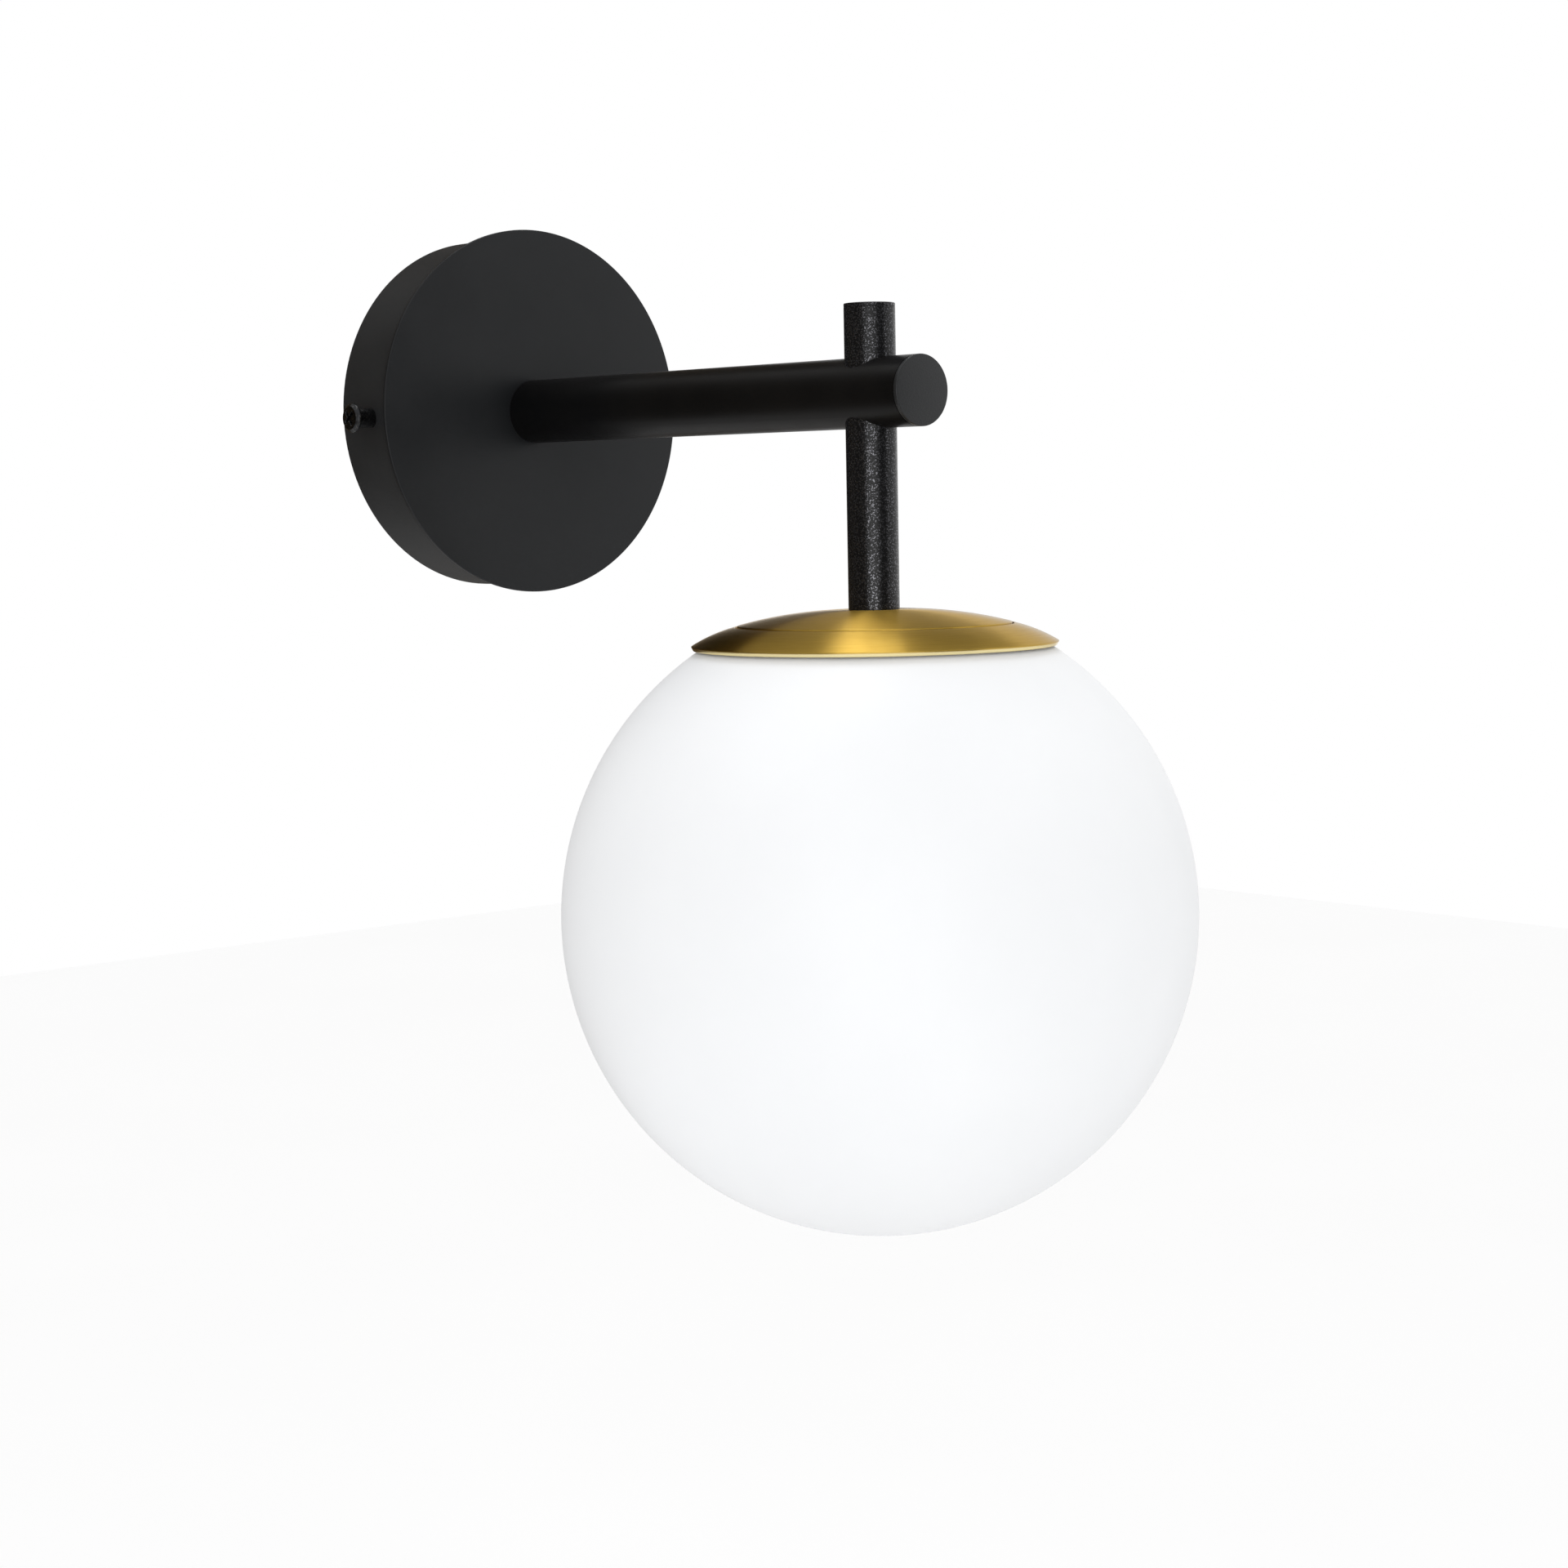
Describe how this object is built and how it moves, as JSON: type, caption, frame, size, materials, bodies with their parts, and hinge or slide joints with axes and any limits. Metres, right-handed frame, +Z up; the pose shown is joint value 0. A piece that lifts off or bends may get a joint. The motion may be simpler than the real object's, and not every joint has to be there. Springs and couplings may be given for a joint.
{
  "type": "wall sconce",
  "caption": "Wall light: round black canopy, horizontal arm crossed by a vertical drop tube, brushed brass cap and an opal glass globe over a screw-in bulb.",
  "frame": {"origin": "centre of the bracket's wall slots, in the wall plane behind the canopy", "axes": "+Y into the wall, +Z up, +X to the right for someone who faces the wall; the arm runs along -Y"},
  "size_m": [0.2, 0.303, 0.327],
  "materials": {
    "satin_black": "satin",
    "fine_black": "fine textured satin",
    "textured_black": "fine textured powder coat",
    "brushed_brass": "brushed round the axis",
    "opal_glass": "satin opal",
    "zinc_steel": "zinc plated",
    "black_nickel": "black nickel",
    "plain_brass": "turned",
    "black_plastic": "matte",
    "holder_ceramic": "unglazed ceramic",
    "block_plastic": "matte",
    "brown_wire": "soft matte",
    "blue_wire": "soft matte",
    "green_yellow_wire": "soft matte",
    "grey_rubber": "soft matte",
    "solder": "satin",
    "black_glass": "gloss",
    "bulb_nickel": "nickel plated",
    "white_plastic": "satin",
    "frosted_plastic": "frosted"
  },
  "bodies": {
    "bracket": {"wall_bracket": "zinc_steel", "bracket_earth_screw": "plain_brass", "bracket_earth_washer": "plain_brass"},
    "lamp": {"canopy_front_disc": "satin_black", "canopy_ring": "satin_black", "canopy_screw_bosses": "satin_black", "arm_tube": "satin_black", "arm_end_cap": "fine_black", "arm_root_plug": "zinc_steel", "canopy_nipple": "zinc_steel", "canopy_lock_washer": "zinc_steel", "canopy_nut": "zinc_steel", "drop_tube": "textured_black", "drop_tube_cap": "textured_black", "drop_tube_insert": "zinc_steel", "brass_dome": "brushed_brass", "head_nipple": "zinc_steel", "head_washer": "zinc_steel", "head_lock_washer": "zinc_steel", "head_nut": "zinc_steel", "holder_cap": "black_plastic", "holder_grub_screw": "zinc_steel", "holder_core": "holder_ceramic", "holder_shell": "black_plastic", "holder_screw_shell": "plain_brass", "holder_contact": "plain_brass", "holder_clamps": "plain_brass", "holder_clamp_screws": "zinc_steel", "terminal_block": "block_plastic", "terminal_sleeves": "plain_brass", "terminal_screws": "zinc_steel", "terminal_stud": "zinc_steel", "terminal_nut": "zinc_steel", "earth_stud": "zinc_steel", "earth_tag": "zinc_steel", "earth_nut": "zinc_steel", "live_wire": "brown_wire", "neutral_wire": "blue_wire", "earth_wire": "green_yellow_wire"},
    "left_washer": {"left_screw_washer": "black_nickel"},
    "left_screw": {"left_canopy_screw": "black_nickel"},
    "right_washer": {"right_screw_washer": "black_nickel"},
    "right_screw": {"right_canopy_screw": "black_nickel"},
    "skirt": {"brass_skirt": "brushed_brass", "skirt_gasket": "grey_rubber"},
    "globe": {"globe_glass": "opal_glass"},
    "bulb_contact": {"bulb_tip": "solder"},
    "bulb": {"bulb_insulator": "black_glass", "bulb_screw_base": "bulb_nickel", "bulb_body": "white_plastic", "bulb_diffuser": "frosted_plastic"}
  },
  "joints": [
    {"name": "canopy_slide", "type": "slide", "parent": "bracket", "child": "lamp", "axis": [0, -1, 0], "range_m": [0, 0.03]},
    {"name": "left_screw_out", "type": "slide", "parent": "lamp", "child": "left_washer", "axis": [-1, 0, 0], "range_m": [0, 0.0035]},
    {"name": "left_screw_turn", "type": "hinge", "parent": "left_washer", "child": "left_screw", "pos_m": [-0.066, -0.017, -0.002], "axis": [-1, 0, 0], "range_deg": [0, 1803]},
    {"name": "right_screw_out", "type": "slide", "parent": "lamp", "child": "right_washer", "axis": [1, 0, 0], "range_m": [0, 0.0035]},
    {"name": "right_screw_turn", "type": "hinge", "parent": "right_washer", "child": "right_screw", "pos_m": [0.066, -0.017, -0.002], "axis": [1, 0, 0], "range_deg": [0, 1803]},
    {"name": "globe_drop", "type": "slide", "parent": "lamp", "child": "skirt", "axis": [0, 0, -1], "range_m": [0, 0.006]},
    {"name": "globe_turn", "type": "hinge", "parent": "skirt", "child": "globe", "pos_m": [0, -0.203, -0.076], "axis": [0, 0, -1], "range_deg": [0, 541]},
    {"name": "bulb_drop", "type": "slide", "parent": "lamp", "child": "bulb_contact", "axis": [0, 0, -1], "range_m": [0, 0.01267]},
    {"name": "bulb_turn", "type": "hinge", "parent": "bulb_contact", "child": "bulb", "pos_m": [0, -0.203, -0.11], "axis": [0, 0, -1], "range_deg": [0, 1262]}
  ],
  "couplings": [
    {"joint": "left_screw_turn", "follows": "left_screw_out", "rad_per_m": 8976},
    {"joint": "right_screw_turn", "follows": "right_screw_out", "rad_per_m": 8976},
    {"joint": "globe_turn", "follows": "globe_drop", "rad_per_m": 1570.8},
    {"joint": "bulb_turn", "follows": "bulb_drop", "rad_per_m": 1735.7}
  ]
}
